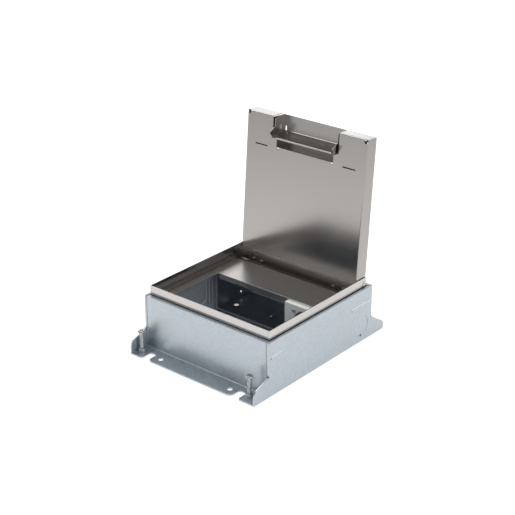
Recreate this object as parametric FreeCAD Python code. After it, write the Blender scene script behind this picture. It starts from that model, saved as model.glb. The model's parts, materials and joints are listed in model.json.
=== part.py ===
import FreeCAD, Part
import math
import os

# Floor socket box with a hinged lid, millimetres, +Z up, -Y the front, +X the right.
# Origin: centre of the base's footprint, on the floor that the box stands on.
# The lid group is drawn shut, then turned open about its hinge, which is how the part rests.

V = FreeCAD.Vector

# ---------------------------------------------------------------- driving dimensions
through = 1.0               # cutting tools run this far past a face

# Housing: a sheet-steel box with a fixing flange in front and behind
housing_width = 208.3
housing_depth = 213.7
housing_height = 74.5
wall_sheet = 2.0
seam = 0.1                  # gap between sheets that meet edge to edge
corner_seam = 0.6           # gap where the side wall's return meets the front wall
top_fold_gap = 1.3          # the walls' top edges, folded in, stop this far from the frame
top_fold_relief_r = 0.9
bend_inside = 1.0           # inner radius of a folded wall sheet
flange_reach = 28.3
corner_return = 4.1         # side wall folded round each corner
corner_radius = 1.6
gusset_root = 28.4          # height of the side wall's ear at the wall
gusset_tip = (17.7, 10.5)   # and at its outer end, front and rear
gusset_tip_radius = (12.0, 6.0)
relief_r = 1.1              # bend relief at the foot of each corner

# Flange outline, as distances in from the box's left and right side
ear_width = (19.65, 26.15)
tongue_from_side = (30.15, 37.65)
notch_depth = 10.6          # notch bottom, from the wall
notch_r = 3.6
ear_r = 4.0
ear_tip_r = 1.0
tongue_r = 7.0
fixing_hole_from_side = (42.15, 48.65)
fixing_hole_from_wall = 16.15
fixing_hole_r = 3.5

# Levelling screws, M6
screw_from_side = (7.35, 18.65)
screw_from_wall = 14.15
screw_r = 3.0
screw_length = 31.5
screw_head_r = 5.2
screw_head_height = 2.2
screw_cone_height = 2.2
screw_recess_width = 1.3
screw_recess_span = 5.6
screw_recess_depth = 1.5
screw_head_edge = 1.3
screw_tip_chamfer = 0.8
thread_gap = 0.15
collar_r = 5.1
collar_height = 4.5

# Side walls: knock-outs and lanced bars
knockout_from_rear = 23.85
knockout_z = 23.0
knockout_r = 14.5
knockout_slit = 0.9
knockout_chord = 10.0       # the slit starts this far behind the knock-out's middle
knockout_pilot_r = 1.6
knockout_pilot_up = 1.2     # pilot hole, from the ring's lowest point
bar_drop = 20.7             # bar's middle, below the housing's top
bar_height = 4.0
bar_proud = 0.9
bar_edge = 0.7
bar_pin_r = 1.1
bar_end_r = 1.2
front_bar_from_wall = (5.25, 25.45)
rear_bar_from_wall = (44.35, 4.05)

# Floor of the box
drain_from_side = 13.65
drain_from_rear = 47.85
drain_r = 3.6
perforation_x = 31.0
perforation_width = 1.6
perforation_depth = 1.0
dashes_from_rear = ((56.35, 48.35), (40.85, 26.85), (22.85, 8.85))
perforation_hole_from_rear = 44.55
perforation_hole_r = 1.6

# Corner brackets that carry the frame
bracket_foot = 19.0
bracket_reach = 12.5

# Stainless frame
frame_room = (4.65, 6.45, 8.25)    # from the housing's outside: side, front, rear
frame_rise = 12.9           # frame's top, above the housing's
frame_sheet = 1.2
frame_corner_r = 1.6
frame_seam = 0.4            # width and depth of the seam in the band at the front corners
band_height = 9.8
band_step = 0.6             # the hemmed band stands out this far
ledge_drop = 17.2           # below the frame's top
ledge_sheet = 1.2
ledge_side = 14.4
ledge_front = 11.8
ledge_rear = 38.0
cable_cutout_half = 58.0
cable_cutout_wall = 2.2     # ledge left along the front wall
rim_end_radius = 2.5
rim_rivet_from_rear = 4.8
rim_rivet_drop = 9.4        # below the frame's top
rim_rivet_head_r = 2.9
rim_rivet_head = 1.3
rim_rivet_edge = 0.5
rim_rivet_r = 1.2
rim_rivet_recess_r = 4.6

# Cover plate on the ledge
plate_sheet = 0.8
plate_gap = (7.3, 7.0, 33.0)       # to the frame's inside: side, front, rear
plate_corner_r = 3.0
opening_gap = (18.2, 12.7, 86.8)   # to the frame's inside: side, front, rear
opening_corner_r = 1.5
opening_lip = 7.8

# Rear seal and the plate that holds it
seal_end_gap = 19.6         # to the frame's inside
seal_width = 5.4
seal_gap = 0.1
seal_height = 1.3
seal_groove = 1.0
seal_groove_depth = 0.5
seal_end_r = 2.2
clip_from_end = (15.2, 27.8)       # from the seal's left end
clip_width = 1.4
clip_height = 1.0
seal_plate_end_gap = 8.3    # to the frame's inside
seal_plate_width = 13.0
rivet_head_r = 2.1
rivet_head = 0.4
rivet_r = 1.3
ledge_rivet_in = (16.8, 7.9)       # from the frame's inside: side, rear
seal_plate_rivets_in = ((22.3, 10.3), (37.3, 8.5))   # from the frame's side and the plate's front

# Carrier inside the box: a floor with two side wings
carrier_sheet = 1.2
carrier_from_rear = 75.35   # carrier's rear end, from the rear wall's outside
wing_bracket_gap = 2.4      # wing's front end, behind the front corner bracket
wing_top_gap = 3.0          # to the frame's ledge
rib_r = 1.3
rib_first_from_rear = 22.5  # first rib, from the carrier's rear end
rib_pitch = 6.5
rib_count = 3
hem_width = 2.5
carrier_edge = 2.4
tab_length = 11.0
tab_width = 2.6
tab_proud = 1.4
tab_end_r = 1.1
tab_tilt = 29.0
tab_set = 0.7               # tab's middle, in front of the device bracket's face
tab_z = 22.4

# Painted bracket for a device
device_width = 59.0
device_side_gap = 0.95      # to the tab on the carrier's wing
device_face_gap = 7.0       # in front of the opening's rear edge
device_sheet = 1.2
device_foot_depth = 13.0
device_return = 6.0
device_hole_from_right = 25.0
device_hole_drop = 24.9     # below the bracket's top
device_hole_r = 20.0
device_gap = 0.1            # to the ledge above and the cover plate's lip behind
device_screw_from_left = 15.5
device_screw_drop = 8.4
device_screw_end = 2.0      # screw end, behind the bracket's face
foot_screw_in = (12.0, 11.0)
small_head_r = 3.0
small_head = 1.6
small_head_edge = 0.6
small_screw_r = 1.6
small_recess = 0.8
small_recess_span = 3.6

# Lid: a tray that takes the floor covering
lid_gap = 0.6               # to the frame, all round
lid_height = 19.0
lid_sheet = 1.0
lid_bend = 2.0
lid_rest_gap = 0.6          # above the cover plate when shut
lid_open_angle = 94.25
hinge_back = 4.3            # hinge axis, from the lid's rear face
hinge_drop = 5.9            # hinge axis, below the lid's top edge
hinge_pin_r = 1.5
hinge_pin_inside = 1.0
running_gap = 0.05
stop_gap = 0.08             # between the open lid and the frame's rear wall
corner_relief_r = 2.8
corner_relief_in = 2.8
lid_slot_from_front = 43.0
lid_slot_x = (61.5, 82.0)
lid_slot_width = 1.6

# Outlet in the lid's front edge: notch, pocket wall and flap
notch_half = 53.8
notch_step = 30.0           # from the front edge
notch_shoulder = 7.3        # step in from the notch's wide part
notch_back = 41.2
notch_corner_r = 2.6
liner_sheet = 1.2           # stiffening plate on the tray's floor, seen through its slots
liner_gap = 1.2             # to the tray's walls and to the pocket
pocket_sheet = 1.0
pocket_cover_from = 24.6    # the pocket is closed on top from here to its back
flap_side_gap = 2.3
flap_sheet = 1.0
flap_front_gap = 0.4
flap_fold = 22.5
flap_lip = 28.6
flap_lip_drop = 4.0         # lip below the lid's inner face
flap_lip_side = 5.0         # the lip ends this far in from the ears
flap_lip_relief = 5.0       # height of the gap that leaves
flap_bead_r = 1.2
flap_bend = 1.0
flap_ear_r = 1.0
flap_ear_set = 0.2          # ear's rear corner, in from the fold
flap_ear = ((1.0, 9.5), (3.2, 1.0), (14.2, 1.0), (20.7, -10.8), (29.4, -2.4), (28.2, 7.0))
flap_slot_in = 5.5          # from the flap's side
flap_slot_width = 2.4
flap_slot_from = 15.5
flap_slot_to = 21.5
flap_pivot_back = 19.5      # from the lid's front edge
flap_pivot_up = 10.0        # from the lid's inner face
flap_pin_r = 1.5
flap_pin_head_r = 2.4
flap_pin_head = 0.8
flap_pin_edge = 0.3
flap_pin_inside = 1.0

# ---------------------------------------------------------------- places worked out
outer_x = housing_width / 2
inner_x = outer_x - wall_sheet
wall_y = housing_depth / 2
inner_y = wall_y - wall_sheet
flange_y = wall_y + flange_reach
screw_x = [outer_x - d for d in screw_from_side]
screw_y = wall_y + screw_from_wall
fixing_hole_x = [outer_x - d for d in fixing_hole_from_side]
fixing_hole_y = wall_y + fixing_hole_from_wall
knockout_y = wall_y - knockout_from_rear
front_bar = [d - wall_y for d in front_bar_from_wall]
rear_bar = [wall_y - d for d in rear_bar_from_wall]
drain_x = outer_x - drain_from_side
drain_y = wall_y - drain_from_rear

bar_z = housing_height - bar_drop
perforation_dashes = [(wall_y - y0, wall_y - y1) for y0, y1 in dashes_from_rear]
perforation_hole_y = wall_y - perforation_hole_from_rear

frame_half = outer_x - frame_room[0]
frame_front = frame_room[1] - wall_y
frame_rear = wall_y - frame_room[2]
frame_top = housing_height + frame_rise
band_bottom = frame_top - band_height
ledge_top = frame_top - ledge_drop
rim_rivet_y = frame_rear - rim_rivet_from_rear
rim_rivet_z = frame_top - rim_rivet_drop
frame_in_x = frame_half - frame_sheet
frame_in_front = frame_front + frame_sheet
frame_in_rear = frame_rear - frame_sheet
ledge_under = ledge_top - ledge_sheet
plate_top = ledge_top + plate_sheet
plate_half = frame_in_x - plate_gap[0]
plate_front_y = frame_in_front + plate_gap[1]
plate_rear_y = frame_in_rear - plate_gap[2]
opening_half = frame_in_x - opening_gap[0]
opening_front_y = frame_in_front + opening_gap[1]
opening_rear_y = frame_in_rear - opening_gap[2]

lid_half = frame_in_x - lid_gap
lid_front = frame_in_front + lid_gap
lid_rear = frame_in_rear - lid_gap
lid_under = plate_top + lid_rest_gap
lid_top = lid_under + lid_height
hinge_y = lid_rear - hinge_back
hinge_z = lid_top - hinge_drop

lean = math.radians(lid_open_angle - 90)
open_edge_z = hinge_z - hinge_back * math.cos(lean) - hinge_drop * math.sin(lean)
rear_wall_top = open_edge_z - stop_gap

seal_front = plate_rear_y + seal_gap
seal_rear = seal_front + seal_width
seal_plate_front = seal_rear + seal_gap
seal_plate_rear = seal_plate_front + seal_plate_width
seal_half = frame_in_x - seal_end_gap
seal_plate_half = frame_in_x - seal_plate_end_gap
clip_x = [d - seal_half for d in clip_from_end]
ledge_rivet_x = frame_in_x - ledge_rivet_in[0]
ledge_rivets_at = [(x, frame_in_rear - ledge_rivet_in[1]) for x in (-ledge_rivet_x, ledge_rivet_x)]
seal_plate_rivets_at = [(x - frame_in_x, seal_plate_front + y) for x, y in seal_plate_rivets_in]
seal_plate_rivets_at += [(-x, y) for x, y in reversed(seal_plate_rivets_at)]

carrier_rear_y = wall_y - carrier_from_rear
wing_height = ledge_under - wing_top_gap - wall_sheet
rib_first_y = carrier_rear_y - rib_first_from_rear
device_face_y = opening_rear_y - device_face_gap
tab_y = device_face_y - tab_set
carrier_top = wall_sheet + carrier_sheet
wing_out = inner_x - seam
wing_in = wing_out - carrier_sheet
wing_front_y = front_bar[1] + wing_bracket_gap
device_right = wing_in - tab_proud - device_side_gap
device_left = device_right - device_width
device_top = ledge_under - device_gap
device_hole_z = device_top - device_hole_drop
device_screw_z = device_top - device_screw_drop
device_hole_x = device_right - device_hole_from_right
device_screw_x = device_left + device_screw_from_left
foot_screw_x = (device_left + foot_screw_in[0], device_right - foot_screw_in[1])

notch_inner_half = notch_half - notch_shoulder
flap_half = notch_half - flap_side_gap
flap_slot_x = flap_half - flap_slot_in
flap_y = lid_front + flap_pivot_back
flap_z = lid_under + flap_pivot_up

# ---------------------------------------------------------------- building blocks


def box(x0, x1, y0, y1, z0, z1):
    return Part.makeBox(x1 - x0, y1 - y0, z1 - z0, V(x0, y0, z0))


def rod(centre, direction, radius, length):
    return Part.makeCylinder(radius, length, V(*centre), V(*direction))


def merge(solids):
    shape = solids[0]
    if len(solids) > 1:
        shape = solids[0].multiFuse(solids[1:]).removeSplitter()
    return shape


def in_xy(u, v):
    return V(u, v, 0)


def in_xz(u, v):
    return V(u, 0, v)


def in_yz(u, v):
    return V(0, u, v)


def outline(corners, plane):
    """Face inside a closed line of corners (u, v, radius), each rounded by its radius."""
    arcs = []
    for i, (u, v, radius) in enumerate(corners):
        here = V(u, v, 0)
        back = V(*corners[i - 1][:2], 0) - here
        ahead = V(*corners[(i + 1) % len(corners)][:2], 0) - here
        half = back.getAngle(ahead) / 2
        back.normalize()
        ahead.normalize()
        reach = radius / math.tan(half) if radius else 0
        middle = here
        if radius:
            inward = (back + ahead).normalize()
            middle = here + inward * (radius / math.sin(half) - radius)
        arcs.append((here + back * reach, middle, here + ahead * reach))
    edges = []
    for i, (start, middle, end) in enumerate(arcs):
        following = arcs[(i + 1) % len(arcs)][0]
        if start.distanceToPoint(end) > 1e-6:
            points = [plane(p.x, p.y) for p in (start, middle, end)]
            edges.append(Part.Arc(*points).toShape())
        if end.distanceToPoint(following) > 1e-6:
            ends = [plane(p.x, p.y) for p in (end, following)]
            edges.append(Part.makeLine(*ends))
    return Part.Face(Part.Wire(edges))


def rectangle(u0, u1, v0, v1, radius, plane):
    corners = [(u0, v0, radius), (u1, v0, radius), (u1, v1, radius), (u0, v1, radius)]
    return outline(corners, plane)


def slot(x0, x1, y, width, z0, z1):
    """Round-ended slot along X."""
    face = rectangle(x0, x1, y - width / 2, y + width / 2, width * 0.499, in_xy)
    face.translate(V(0, 0, z0))
    return face.extrude(V(0, 0, z1 - z0))


def mirrored(shape, normal):
    return shape.mirror(V(0, 0, 0), V(*normal))


def pan_head(centre, direction, radius, height, edge):
    """Low head with a chamfered top edge."""
    low = rod(centre, direction, radius, height - edge)
    start = V(*centre) + V(*direction) * (height - edge)
    cone = Part.makeCone(radius, radius - edge, edge, start, V(*direction))
    return low.fuse(cone)


def export(node, solids):
    shape = solids[0] if len(solids) == 1 else Part.makeCompound(solids)
    shape.exportStep("parts/" + node + ".step")


def opened(shape):
    """The lid group, turned from shut to open."""
    turned = shape.copy()
    turned.rotate(V(0, hinge_y, hinge_z), V(1, 0, 0), -lid_open_angle)
    return turned


# ---------------------------------------------------------------- housing


def side_wall():
    """Right side wall: flat ears at the foot, corners folded round above them."""
    front_tip, rear_tip = zip(gusset_tip, gusset_tip_radius)
    foot = [(-flange_y, 0, 0), (-flange_y, *front_tip), (-wall_y, gusset_root, 0)]
    foot += [(wall_y, gusset_root, 0), (flange_y, *rear_tip), (flange_y, 0, 0)]
    ears = outline(foot, in_yz)
    ears.translate(V(inner_x, 0, 0))
    ears = ears.extrude(V(wall_sheet, 0, 0))
    fold_x = outer_x - corner_return
    channel = [(fold_x, -wall_y, 0), (outer_x, -wall_y, corner_radius)]
    channel += [(x, -y, r) for x, y, r in reversed(channel)]
    channel += [(fold_x, inner_y, 0), (inner_x, inner_y, 0), (inner_x, -inner_y, 0), (fold_x, -inner_y, 0)]
    upper = outline(channel, in_xy)
    upper.translate(V(0, 0, gusset_root))
    upper = upper.extrude(V(0, 0, housing_height - gusset_root))
    reach = frame_half - band_step + top_fold_gap
    end = frame_top_fold_end()
    fold = box(reach, outer_x, -end, end, housing_height - wall_sheet, housing_height)
    wall = merge([ears, upper, fold] + [lanced_bar(*span) for span in (front_bar, rear_bar)])
    cuts = [knockout_slits(), pin_hole(front_bar[0]), pin_hole(rear_bar[0])]
    pilot = (inner_x - through, knockout_y, knockout_z - knockout_r + knockout_pilot_up)
    cuts.append(rod(pilot, (1, 0, 0), knockout_pilot_r, wall_sheet + 2 * through))
    for y in (-wall_y, wall_y):
        start = (inner_x - through, y, gusset_root)
        cuts.append(rod(start, (1, 0, 0), relief_r, wall_sheet + 2 * through))
    return wall.cut(cuts)


def frame_top_fold_end():
    """Where the side walls' top folds stop, clear of the front and rear walls' folds."""
    return inner_y - seam


def lanced_bar(y0, y1):
    bar = rectangle(y0, y1, bar_z - bar_height / 2, bar_z + bar_height / 2, bar_end_r, in_yz)
    bar.translate(V(outer_x - wall_sheet / 2, 0, 0))
    bar = bar.extrude(V(wall_sheet / 2 + bar_proud, 0, 0))
    outside = outer_x + bar_proud
    edges = [e for e in bar.Edges if abs(e.CenterOfMass.x - outside) < 1e-6]
    return bar.makeChamfer(bar_edge, edges)


def pin_hole(y):
    start = (inner_x - through, y, bar_z - bar_height / 2)
    return rod(start, (1, 0, 0), bar_pin_r, wall_sheet + bar_proud + 2 * through)


def knockout_slits():
    """Curved slit that a half-sheared knock-out shows at its rear edge."""
    x0 = inner_x - through
    x1 = outer_x + through
    start = (x0, knockout_y, knockout_z)
    ring = rod(start, (1, 0, 0), knockout_r + knockout_slit, x1 - x0)
    ring = ring.cut(rod(start, (1, 0, 0), knockout_r, x1 - x0))
    reach = knockout_r + 2 * through
    y0 = knockout_y + knockout_chord
    return ring.common(box(x0, x1, y0, knockout_y + reach, 0, knockout_z + reach))


def front_wall():
    """Front wall and its fixing flange, one folded sheet."""
    bend_outside = bend_inside + wall_sheet
    lip_y = frame_front + band_step - top_fold_gap
    under = housing_height - wall_sheet
    fold = [(-flange_y, 0, 0), (-inner_y, 0, bend_outside), (-inner_y, under, 0), (lip_y, under, 0)]
    fold += [(lip_y, housing_height, 0), (-wall_y, housing_height, bend_inside)]
    fold += [(-wall_y, wall_sheet, bend_inside), (-flange_y, wall_sheet, 0)]
    sheet = outline(fold, in_yz)
    sheet.translate(V(-inner_x + seam, 0, 0))
    sheet = sheet.extrude(V(2 * (inner_x - seam), 0, 0))
    lower = flange_blank()
    upper_half = outer_x - corner_return - corner_seam
    y0 = -wall_y - through
    y1 = lip_y + through
    foot_z = gusset_root - relief_r
    upper = box(-upper_half, upper_half, y0, y1, foot_z, housing_height + through)
    blank = merge([lower, upper])
    sheet = sheet.common(blank)
    cuts = []
    for x in (-fixing_hole_x[0], fixing_hole_x[1]):
        cuts.append(rod((x, -fixing_hole_y, -through), (0, 0, 1), fixing_hole_r, wall_sheet + 2 * through))
    for x in (-screw_x[0], screw_x[1]):
        cuts.append(rod((x, -screw_y, -through), (0, 0, 1), screw_r + thread_gap, wall_sheet + 2 * through))
    return sheet.cut(cuts)


def flange_blank():
    """Block with the flange's outline: a tongue and two corner ears with notches between."""
    notch_y = -wall_y - notch_depth
    side = inner_x - seam
    back_y = -inner_y + wall_sheet
    ear = [outer_x - d for d in ear_width]
    tongue = [outer_x - d for d in tongue_from_side]
    corners = [(-side, back_y, 0), (-side, -flange_y, ear_tip_r), (-ear[0], -flange_y, ear_r)]
    corners += [(-ear[0], notch_y, notch_r), (-tongue[0], notch_y, notch_r)]
    corners += [(-tongue[0], -flange_y, tongue_r), (tongue[1], -flange_y, tongue_r)]
    corners += [(tongue[1], notch_y, notch_r), (ear[1], notch_y, notch_r)]
    corners += [(ear[1], -flange_y, ear_r), (side, -flange_y, ear_tip_r), (side, back_y, 0)]
    face = outline(corners, in_xy)
    face.translate(V(0, 0, -through))
    return face.extrude(V(0, 0, gusset_root - relief_r + through))


def base_plate():
    side = inner_x - seam
    plate = box(-side, side, -inner_y + seam, inner_y - seam, 0, wall_sheet)
    depth = wall_sheet + 2 * through
    cuts = []
    for x in (-drain_x, drain_x):
        cuts.append(rod((x, drain_y, -through), (0, 0, 1), drain_r, depth))
    for x in (-perforation_x, perforation_x):
        cuts.append(rod((x, perforation_hole_y, -through), (0, 0, 1), perforation_hole_r, depth))
        half = perforation_width / 2
        for y0, y1 in perforation_dashes:
            bottom = wall_sheet - perforation_depth
            cuts.append(box(x - half, x + half, y0, y1, bottom, wall_sheet + through))
    return plate.cut(cuts)


def screw_collars():
    """Threaded collars welded on the flange ears, one under each levelling screw."""
    collars = []
    for x in (-screw_x[0], screw_x[1]):
        for y in (-screw_y, screw_y):
            collar = rod((x, y, wall_sheet), (0, 0, 1), collar_r, collar_height)
            start = (x, y, wall_sheet - through)
            bore = rod(start, (0, 0, 1), screw_r + thread_gap, collar_height + 2 * through)
            collars.append(collar.cut(bore))
    return collars


def levelling_screw(x, y):
    """M6 screw with a raised countersunk head and a cross recess."""
    head_z = screw_length - screw_head_height
    cone_z = head_z - screw_cone_height
    profile = [(0, 0, 0), (screw_r - screw_tip_chamfer, 0, 0), (screw_r, screw_tip_chamfer, 0)]
    profile += [(screw_r, cone_z, 0), (screw_head_r, head_z, 0)]
    profile += [(screw_head_r, screw_length - screw_head_edge, 0)]
    profile += [(screw_head_r - screw_head_edge, screw_length, 0), (0, screw_length, 0)]
    screw = outline(profile, in_xz).revolve(V(0, 0, 0), V(0, 0, 1), 360)
    half = screw_recess_width / 2
    span = screw_recess_span / 2
    bottom = screw_length - screw_recess_depth
    top = screw_length + through
    cross = [box(-half, half, -span, span, bottom, top)]
    cross.append(box(-span, span, -half, half, bottom, top))
    screw = screw.cut(cross)
    screw.translate(V(x, y, 0))
    return screw


def corner_bracket(side, span):
    """Angle inside a side wall that carries the frame's ledge."""
    y0, y1 = span
    outer = inner_x - seam
    foot = outer - wall_sheet
    angle = [(outer, ledge_under - bracket_foot, 0), (outer, ledge_under, bend_inside + wall_sheet)]
    angle += [(outer - bracket_reach, ledge_under, 0), (outer - bracket_reach, ledge_under - wall_sheet, 0)]
    angle += [(foot, ledge_under - wall_sheet, bend_inside), (foot, ledge_under - bracket_foot, 0)]
    bracket = outline([(side * x, z, r) for x, z, r in angle], in_xz)
    bracket.translate(V(0, y0, 0))
    return bracket.extrude(V(0, y1 - y0, 0))


# ---------------------------------------------------------------- frame and plates


def ring(half_x, y0, y1, z0, z1, corner):
    outer = box(-half_x, half_x, y0, y1, z0, z1)
    upright = [e for e in outer.Edges if abs(e.tangentAt(e.FirstParameter).z) > 0.9]
    outer = outer.makeFillet(corner, upright)
    room = box(-frame_in_x, frame_in_x, frame_in_front, frame_in_rear, z0 - through, z1 + through)
    return outer.cut(room)


def frame_rim():
    """Hemmed rim, with the ledge that carries the plates folded in at its foot."""
    step = band_step
    band = ring(frame_half, frame_front, frame_rear, band_bottom, frame_top, frame_corner_r)
    side = frame_half - step
    y0 = frame_front + step
    y1 = frame_rear - step
    wall = ring(side, y0, y1, ledge_under, band_bottom, frame_corner_r - step)
    ledge = box(-side, side, y0, y1, ledge_under, ledge_top)
    inner = ledge_hole()
    rim = merge([band, wall, ledge]).cut(inner)
    y0 = frame_in_rear - through
    y1 = frame_rear + through
    low = box(-frame_in_x, frame_in_x, y0, y1, rear_wall_top, frame_top + through)
    cuts = [low, rim_end_corner()]
    for side in (-1, 1):
        way = (side, 0, 0)
        start_x = side * (frame_in_x - through)
        cuts.append(rod((start_x, hinge_y, hinge_z), way, hinge_pin_r, frame_sheet + 2 * through))
        cuts.append(rod((start_x, rim_rivet_y, rim_rivet_z), way, rim_rivet_r, frame_sheet + 2 * through))
        recess_x = side * (frame_half - step)
        cuts.append(rod((recess_x, rim_rivet_y, rim_rivet_z), way, rim_rivet_recess_r, step + through))
        seam_x = side * (frame_half - frame_corner_r)
        half = frame_seam / 2
        y0 = frame_front - through
        cuts.append(box(seam_x - half, seam_x + half, y0, frame_front + frame_seam, band_bottom, frame_top))
    for x, y in ledge_rivets_at + seal_plate_rivets_at:
        cuts.append(rod((x, y, ledge_under - through), (0, 0, 1), rivet_r, ledge_sheet + 2 * through))
    return rim.cut(cuts)


def rim_end_corner():
    """What rounds the top corners where the side walls of the rim end at the rear."""
    y = frame_rear - rim_end_radius
    z = frame_top - rim_end_radius
    half = frame_half + through
    corner = box(-half, half, y, frame_rear + through, z, frame_top + through)
    return corner.cut(rod((-half, y, z), (1, 0, 0), rim_end_radius, 2 * half))


def ledge_hole():
    """What the ledge leaves open, with the way for cables under the lid's outlet."""
    side = frame_in_x - ledge_side
    front = frame_in_front + ledge_front
    rear = frame_in_rear - ledge_rear
    way = frame_in_front + cable_cutout_wall
    z0 = ledge_under - through
    z1 = ledge_top + through
    room = box(-side, side, front, rear, z0, z1)
    cables = box(-cable_cutout_half, cable_cutout_half, way, front + through, z0, z1)
    return merge([room, cables])


def cover_plate():
    """Plate on the ledge round the service opening, with a lip folded down at its rear edge."""
    plate = rectangle(-plate_half, plate_half, plate_front_y, plate_rear_y, plate_corner_r, in_xy)
    hole = rectangle(-opening_half, opening_half, opening_front_y, opening_rear_y, opening_corner_r, in_xy)
    way_y = (opening_front_y + opening_rear_y) / 2
    cables = rectangle(-cable_cutout_half, cable_cutout_half, plate_front_y - through, way_y, 0, in_xy)
    flat = plate.cut([hole, cables])
    flat.translate(V(0, 0, ledge_top))
    flat = flat.extrude(V(0, 0, plate_sheet))
    lip_half = opening_half - opening_corner_r
    lip_y = opening_rear_y + plate_sheet
    lip = box(-lip_half, lip_half, opening_rear_y, lip_y, plate_top - opening_lip, plate_top)
    return merge([flat, lip])


def seal_retainer():
    plate = box(-seal_plate_half, seal_plate_half, seal_plate_front, seal_plate_rear, ledge_top, plate_top)
    holes = []
    for x, y in seal_plate_rivets_at:
        holes.append(rod((x, y, ledge_top - through), (0, 0, 1), rivet_r, plate_sheet + 2 * through))
    return plate.cut(holes)


def rear_seal():
    """Rubber strip in three lengths, parted by the two clips."""
    face = rectangle(-seal_half, seal_half, seal_front, seal_rear, seal_end_r, in_xy)
    face.translate(V(0, 0, ledge_top))
    strip = face.extrude(V(0, 0, seal_height))
    middle = (seal_front + seal_rear) / 2
    half = seal_groove / 2
    groove_z = ledge_top + seal_height - seal_groove_depth
    cuts = [box(-seal_half, seal_half, middle - half, middle + half, groove_z, groove_z + 2 * through)]
    low = ledge_top - through
    high = ledge_top + seal_height + through
    for x in clip_x:
        room = clip_width / 2 + seal_gap
        cuts.append(box(x - room, x + room, seal_front - through, seal_rear + through, low, high))
    return strip.cut(cuts).Solids


def seal_clips():
    half = clip_width / 2
    top = ledge_top + clip_height
    return [box(x - half, x + half, seal_front, seal_rear, ledge_top, top) for x in clip_x]


def plate_rivets():
    """Flat rivets through the ledge, and through the retainer above it."""
    rivets = []
    for places, seat in ((ledge_rivets_at, ledge_top), (seal_plate_rivets_at, plate_top)):
        for x, y in places:
            shank = rod((x, y, ledge_under), (0, 0, 1), rivet_r, seat - ledge_under)
            head = rod((x, y, seat), (0, 0, 1), rivet_head_r, rivet_head)
            rivets.append(merge([shank, head]))
    return rivets


def rim_rivet(side):
    seat = frame_half - band_step
    shank = rod((side * frame_in_x, rim_rivet_y, rim_rivet_z), (side, 0, 0), rim_rivet_r, seat - frame_in_x)
    middle = (side * seat, rim_rivet_y, rim_rivet_z)
    head = pan_head(middle, (side, 0, 0), rim_rivet_head_r, rim_rivet_head, rim_rivet_edge)
    return merge([shank, head])


def hinge_pin(side):
    length = frame_half - lid_half + lid_sheet + hinge_pin_inside
    return rod((side * frame_half, hinge_y, hinge_z), (-side, 0, 0), hinge_pin_r, length)


# ---------------------------------------------------------------- inside the box


def device_carrier():
    """U-shaped carrier: a floor, two side wings with pressed ribs, and an upturned rear edge."""
    front = -inner_y + 2 * seam
    floor = box(-wing_out, wing_out, front, carrier_rear_y, wall_sheet, carrier_top)
    edge_y = carrier_rear_y - carrier_sheet
    edge = box(-wing_in, wing_in, edge_y, carrier_rear_y, carrier_top, carrier_top + carrier_edge)
    parts = [floor, edge]
    for side in (-1, 1):
        parts.append(carrier_wing(side))
    carrier = merge(parts)
    holes = []
    for x in foot_screw_x:
        holes.append(rod((x, foot_screw_y(), 0), (0, 0, 1), small_screw_r, carrier_top + through))
    return carrier.cut(holes)


def carrier_wing(side):
    x0, x1 = sorted((side * wing_in, side * wing_out))
    top = wall_sheet + wing_height
    wing = [box(x0, x1, wing_front_y, carrier_rear_y, wall_sheet, top)]
    hem = sorted((side * wing_in, side * (wing_in - carrier_sheet)))
    wing.append(box(hem[0], hem[1], carrier_rear_y - hem_width, carrier_rear_y, carrier_top, top))
    for i in range(rib_count):
        y = rib_first_y + i * rib_pitch
        rib = rod((side * (wing_in + rib_r / 2), y, carrier_top), (0, 0, 1), rib_r, wing_height - 2 * rib_r)
        keep = sorted((side * wing_out, side * (wing_in - rib_r)))
        wing.append(rib.common(box(keep[0], keep[1], y - rib_r, y + rib_r, 0, top)))
    half = tab_width / 2
    tab = rectangle(-tab_length / 2, tab_length / 2, -half, half, tab_end_r, in_yz)
    start = (wing_in - tab_proud) if side > 0 else -wing_in
    tab = tab.extrude(V(tab_proud, 0, 0))
    tab.rotate(V(0, 0, 0), V(1, 0, 0), tab_tilt)
    tab.translate(V(start, tab_y, tab_z))
    wing.append(tab)
    return merge(wing)


def foot_screw_y():
    return device_face_y + device_sheet + device_foot_depth / 2


def device_bracket():
    """Folded bracket: face with a round device opening, top and foot flanges, and a side return."""
    t = device_sheet
    y = device_face_y
    face = box(device_left, device_right, y, y + t, carrier_top, device_top)
    head = box(device_left, device_right, y, opening_rear_y - device_gap, device_top - t, device_top)
    foot = box(device_left, device_right, y, y + t + device_foot_depth, carrier_top, carrier_top + t)
    side = box(device_left, device_left + t, y, y + device_return, carrier_top, device_top)
    bracket = merge([face, head, foot, side])
    depth = t + 2 * through
    cuts = [rod((device_hole_x, y - through, device_hole_z), (0, 1, 0), device_hole_r, depth)]
    cuts.append(rod((device_screw_x, y - through, device_screw_z), (0, 1, 0), small_screw_r, depth))
    for x in foot_screw_x:
        cuts.append(rod((x, foot_screw_y(), 0), (0, 0, 1), small_screw_r, carrier_top + t + through))
    return bracket.cut(cuts)


def small_screw(seat, direction, length):
    """Pan-head screw with a cross recess: seat is the middle of the head's underside."""
    way = V(*direction)
    start = V(*seat)
    shank = rod(tuple(start - way * length), direction, small_screw_r, length)
    head = pan_head(seat, direction, small_head_r, small_head, small_head_edge)
    screw = merge([shank, head])
    half = small_recess / 2
    span = small_recess_span / 2
    top = small_head + through
    cross = [box(-half, half, -span, span, small_head / 2, top)]
    cross.append(box(-span, span, -half, half, small_head / 2, top))
    turn = FreeCAD.Rotation(V(0, 0, 1), way)
    cross = merge(cross)
    cross.Placement = FreeCAD.Placement(start, turn)
    return screw.cut(cross)


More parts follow.
